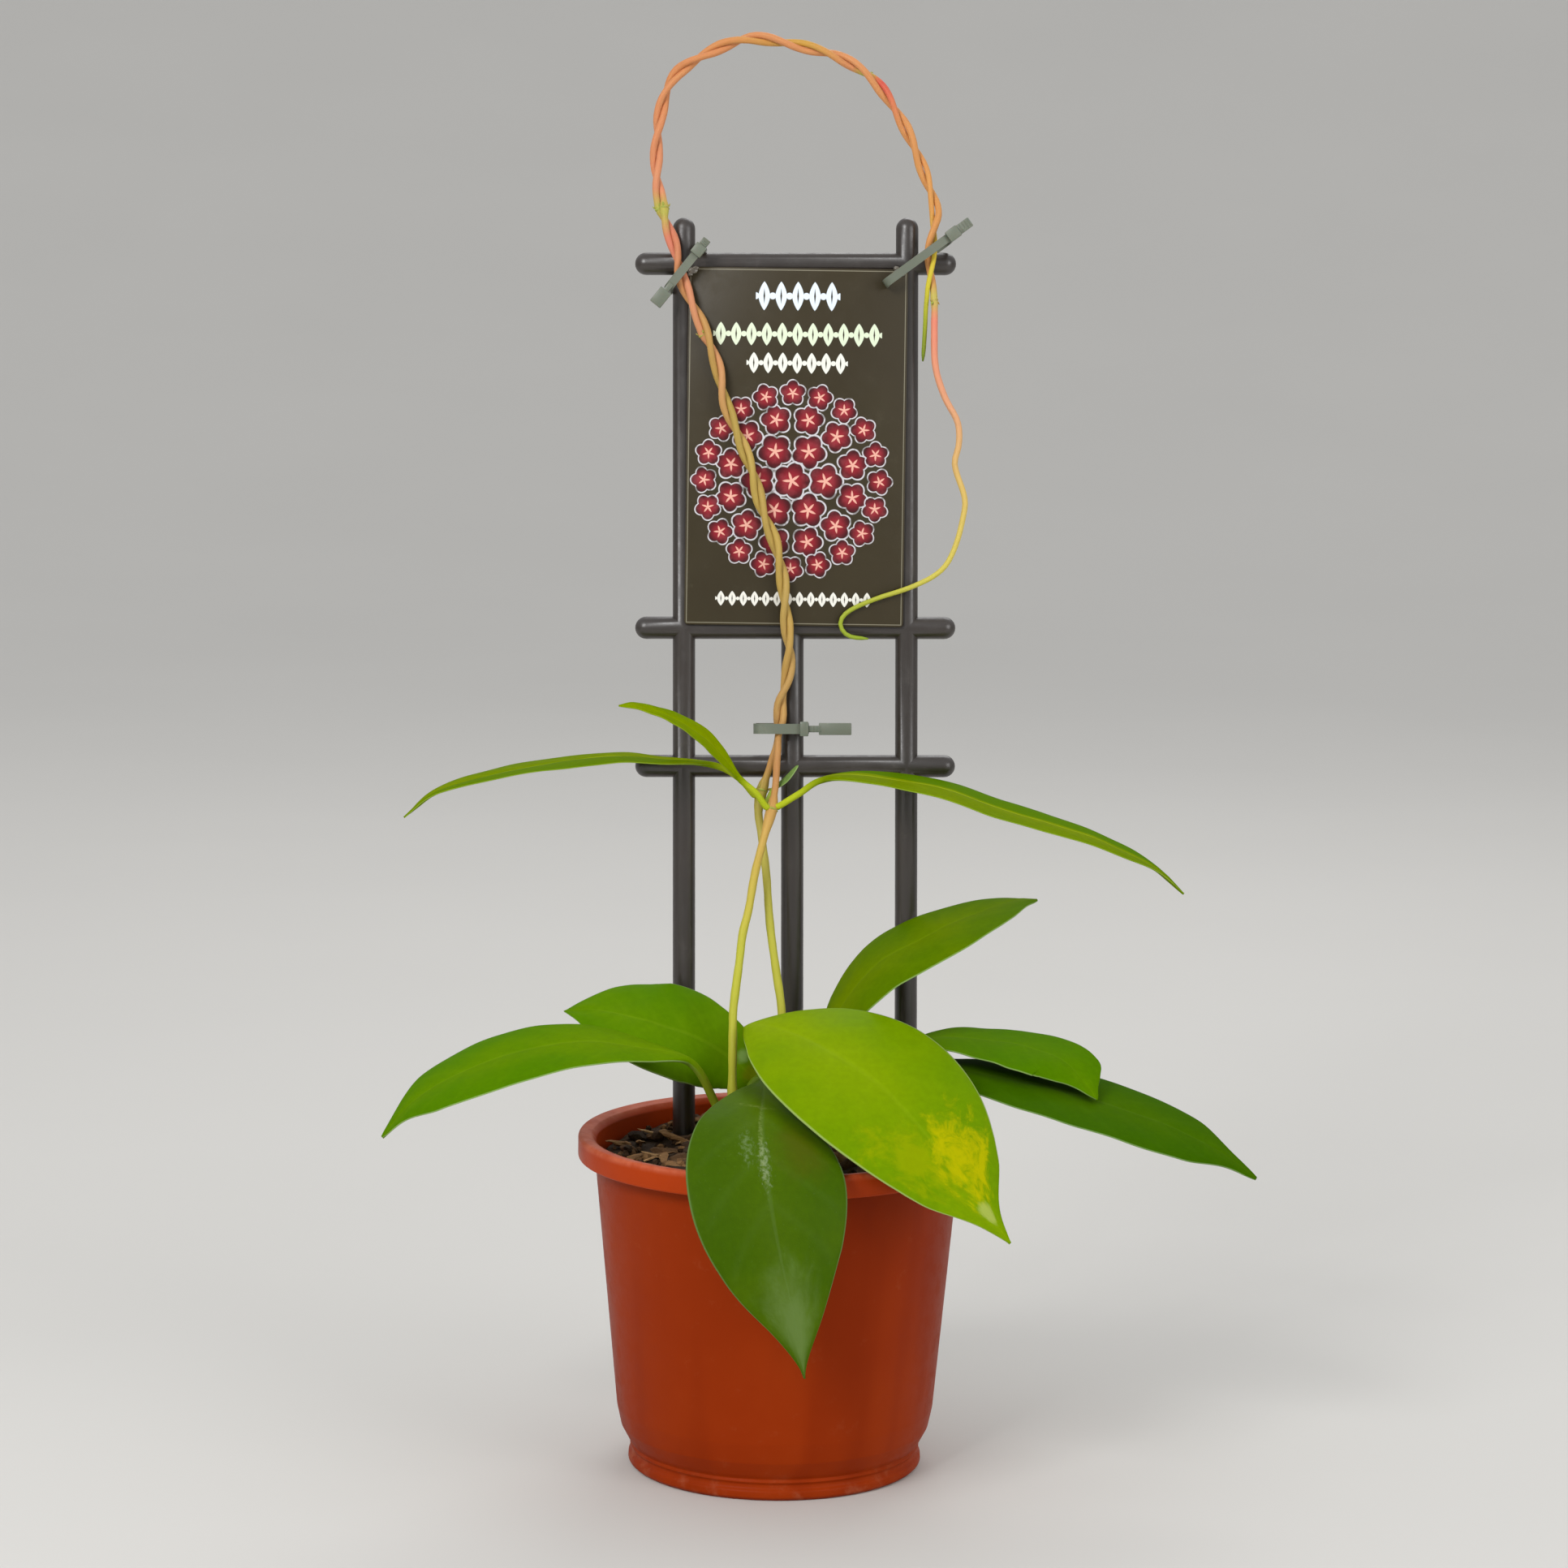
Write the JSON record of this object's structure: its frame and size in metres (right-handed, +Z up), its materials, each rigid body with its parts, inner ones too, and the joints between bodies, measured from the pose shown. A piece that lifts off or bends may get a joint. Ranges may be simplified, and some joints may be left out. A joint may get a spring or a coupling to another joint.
{
  "type": "potted climbing plant",
  "caption": "Climbing waxy-leaved plant in a round plastic nursery pot, its stems twisted up a small bar trellis and looped above it, with a label card and strap ties.",
  "frame": {"origin": "centre of the pot's flat underside pad, on the surface it stands on", "axes": "+Z up the pot and trellis, -Y towards the printed face of the label card, +X to its right as seen from the front"},
  "size_m": [0.3029, 0.1675, 0.5021],
  "materials": {
    "pot": "terracotta-coloured plastic with a satin sheen",
    "potting_mix": "dark bark and charcoal mix with tan chips",
    "trellis": "black-brown moulded plastic, satin",
    "card": "printed card, dark olive-brown ground",
    "tie": "grey-green flexible plastic",
    "stem": "green-yellow to tan young stem",
    "leaf": "waxy mid-green leaf",
    "leaf_dark": "waxy dark-green leaf",
    "leaf_yellow": "waxy yellow-green leaf"
  },
  "bodies": {
    "root": {"pot": "pot", "potting_mix": "potting_mix", "trellis": "trellis", "label_card": "card", "tie_left": "tie", "tie_right": "tie", "tie_middle": "tie", "vine_a": "stem", "vine_b": "stem", "leaf_front": "leaf_dark", "leaf_big": "leaf_yellow", "leaf_left_front": "leaf", "leaf_left_back": "leaf", "leaf_back_right": "leaf", "leaf_right": "leaf", "leaf_right_low": "leaf_dark", "leaf_upper_right": "leaf", "leaf_upper_left": "leaf", "leaf_upper_back": "leaf", "leaf_young": "leaf"}
  },
  "joints": []
}
